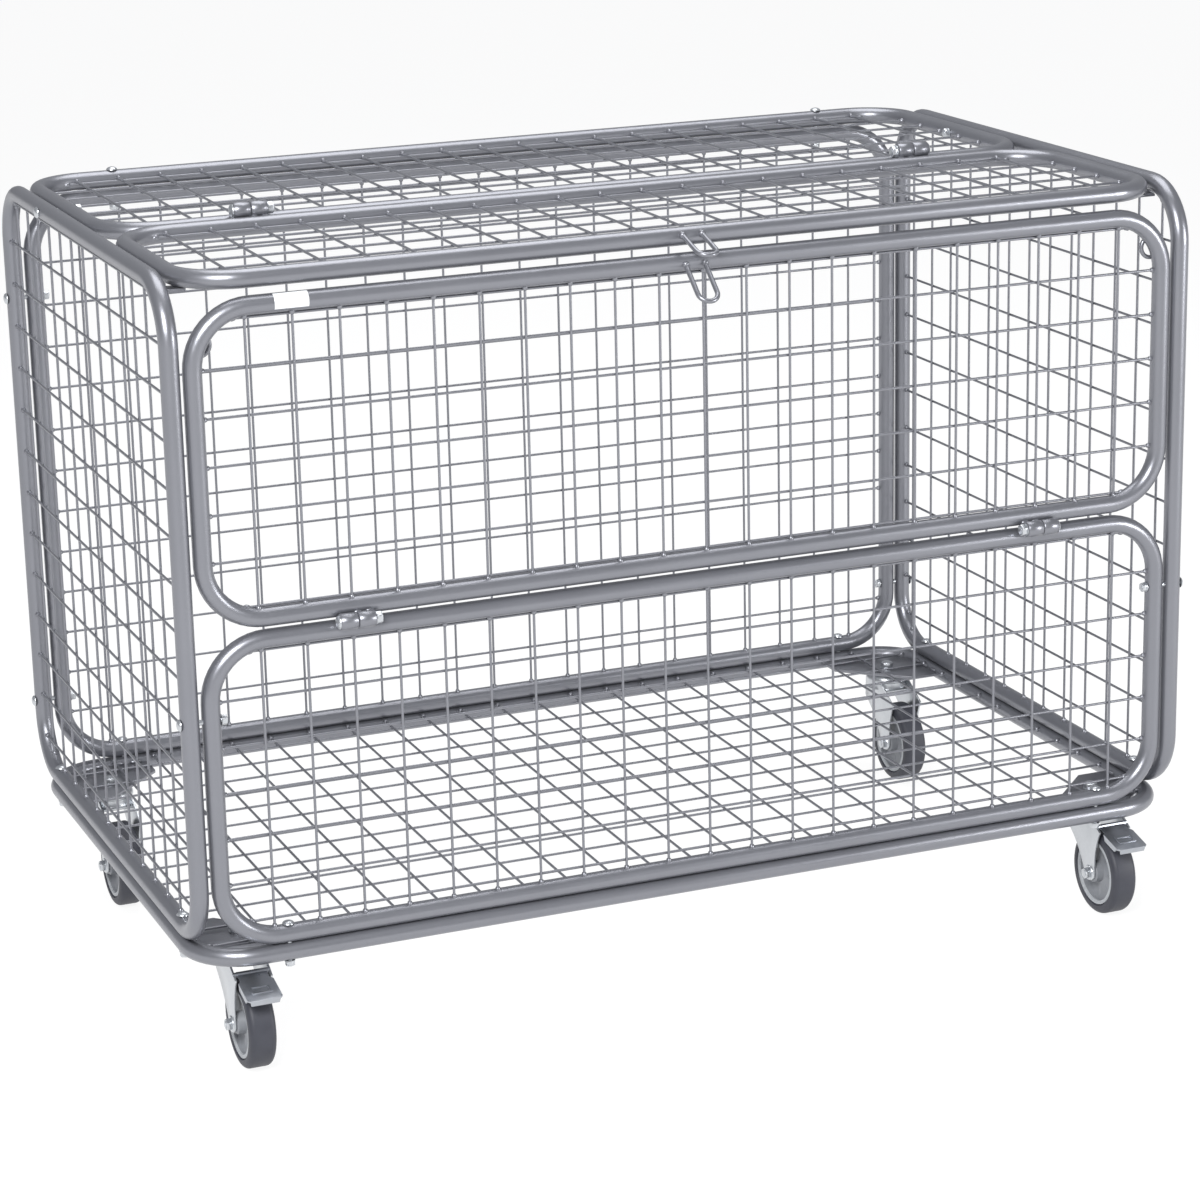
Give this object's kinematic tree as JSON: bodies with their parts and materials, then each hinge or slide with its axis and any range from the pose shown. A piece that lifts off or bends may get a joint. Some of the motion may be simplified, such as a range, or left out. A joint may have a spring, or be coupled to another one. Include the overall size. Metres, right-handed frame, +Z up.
{
  "type": "roll cage container",
  "caption": "Wheeled wire-mesh roll cage for bulky goods, with a hinged half lid, a fold-down front door and swivel castors.",
  "frame": {"origin": "floor level, under the middle of the overall size", "axes": "+X to the right along the front, +Y to the back, +Z up; the door and the lid open on the -Y side"},
  "size_m": [1.1856, 0.7307, 0.8793],
  "materials": {
    "silver_grey_coat": "satin metallic powder coat",
    "bright_zinc": "bright zinc plate",
    "grey_rubber": "matt moulded rubber",
    "grey_plastic": "moulded, matt"
  },
  "bodies": {
    "cage": {"back_foot_bolt_left": "bright_zinc", "back_foot_bolt_right": "bright_zinc", "back_frame": "silver_grey_coat", "back_mesh": "silver_grey_coat", "base_frame": "silver_grey_coat", "door_hinge_bolt_left": "bright_zinc", "door_hinge_bolt_right": "bright_zinc", "floor_mesh": "silver_grey_coat", "front_foot_bolt_left": "bright_zinc", "front_foot_bolt_right": "bright_zinc", "front_left_kingpin_bolt": "bright_zinc", "front_panel_frame": "silver_grey_coat", "front_panel_mesh": "silver_grey_coat", "front_right_kingpin_bolt": "bright_zinc", "left_end_foot_bolt_front": "bright_zinc", "left_end_foot_bolt_rear": "bright_zinc", "left_end_frame": "silver_grey_coat", "left_end_mesh": "silver_grey_coat", "left_side_bolt_front": "bright_zinc", "left_side_bolt_rear_high": "bright_zinc", "left_side_bolt_rear_low": "bright_zinc", "left_side_bolt_roof": "bright_zinc", "lid_hinge_bolt_left": "bright_zinc", "lid_hinge_bolt_right": "bright_zinc", "rear_left_kingpin_bolt": "bright_zinc", "rear_right_kingpin_bolt": "bright_zinc", "right_end_foot_bolt_front": "bright_zinc", "right_end_foot_bolt_rear": "bright_zinc", "right_end_frame": "silver_grey_coat", "right_end_mesh": "silver_grey_coat", "right_side_bolt_front": "bright_zinc", "right_side_bolt_rear_high": "bright_zinc", "right_side_bolt_rear_low": "bright_zinc", "right_side_bolt_roof": "bright_zinc", "roof_panel_frame": "silver_grey_coat", "roof_panel_mesh": "silver_grey_coat", "roof_rear_bolt_left": "bright_zinc", "roof_rear_bolt_right": "bright_zinc"},
    "door": {"front_door_frame": "silver_grey_coat", "front_door_mesh": "silver_grey_coat"},
    "lid": {"lid_frame": "silver_grey_coat", "lid_mesh": "silver_grey_coat"},
    "front_left_castor": {"front_left_castor_fork": "bright_zinc", "front_left_axle_bolt": "bright_zinc"},
    "front_left_wheel": {"front_left_wheel_hub": "grey_plastic", "front_left_tyre": "grey_rubber"},
    "front_left_brake": {"front_left_brake_pedal": "bright_zinc"},
    "front_right_castor": {"front_right_castor_fork": "bright_zinc", "front_right_axle_bolt": "bright_zinc"},
    "front_right_wheel": {"front_right_wheel_hub": "grey_plastic", "front_right_tyre": "grey_rubber"},
    "front_right_brake": {"front_right_brake_pedal": "bright_zinc"},
    "rear_left_castor": {"rear_left_castor_fork": "bright_zinc", "rear_left_axle_bolt": "bright_zinc"},
    "rear_left_wheel": {"rear_left_wheel_hub": "grey_plastic", "rear_left_tyre": "grey_rubber"},
    "rear_right_castor": {"rear_right_castor_fork": "bright_zinc", "rear_right_axle_bolt": "bright_zinc"},
    "rear_right_wheel": {"rear_right_wheel_hub": "grey_plastic", "rear_right_tyre": "grey_rubber"}
  },
  "joints": [
    {"name": "front_door_hinge", "type": "hinge", "parent": "cage", "child": "door", "pos_m": [0, -0.33059, 0.4928], "axis": [1, 0, 0], "range_deg": [0, 170]},
    {"name": "lid_hinge", "type": "hinge", "parent": "cage", "child": "lid", "pos_m": [0, -0.0146, 0.87029], "axis": [-1, 0, 0], "range_deg": [0, 175]},
    {"name": "front_left_swivel", "type": "hinge", "parent": "cage", "child": "front_left_castor", "pos_m": [-0.521, -0.2426, 0.135], "axis": [0, 0, 1], "continuous": true},
    {"name": "front_left_wheel_spin", "type": "hinge", "parent": "front_left_castor", "child": "front_left_wheel", "pos_m": [-0.521, -0.2786, 0.05], "axis": [1, 0, 0], "continuous": true},
    {"name": "front_left_brake_lever", "type": "hinge", "parent": "front_left_castor", "child": "front_left_brake", "pos_m": [-0.521, -0.2906, 0.1095], "axis": [1, 0, 0], "range_deg": [0, 10]},
    {"name": "front_right_swivel", "type": "hinge", "parent": "cage", "child": "front_right_castor", "pos_m": [0.521, -0.2426, 0.135], "axis": [0, 0, 1], "continuous": true},
    {"name": "front_right_wheel_spin", "type": "hinge", "parent": "front_right_castor", "child": "front_right_wheel", "pos_m": [0.521, -0.2786, 0.05], "axis": [1, 0, 0], "continuous": true},
    {"name": "front_right_brake_lever", "type": "hinge", "parent": "front_right_castor", "child": "front_right_brake", "pos_m": [0.521, -0.2906, 0.1095], "axis": [1, 0, 0], "range_deg": [0, 10]},
    {"name": "rear_left_swivel", "type": "hinge", "parent": "cage", "child": "rear_left_castor", "pos_m": [-0.521, 0.2834, 0.135], "axis": [0, 0, 1], "continuous": true},
    {"name": "rear_left_wheel_spin", "type": "hinge", "parent": "rear_left_castor", "child": "rear_left_wheel", "pos_m": [-0.521, 0.2474, 0.05], "axis": [1, 0, 0], "continuous": true},
    {"name": "rear_right_swivel", "type": "hinge", "parent": "cage", "child": "rear_right_castor", "pos_m": [0.521, 0.2834, 0.135], "axis": [0, 0, 1], "continuous": true},
    {"name": "rear_right_wheel_spin", "type": "hinge", "parent": "rear_right_castor", "child": "rear_right_wheel", "pos_m": [0.521, 0.2474, 0.05], "axis": [1, 0, 0], "continuous": true}
  ]
}
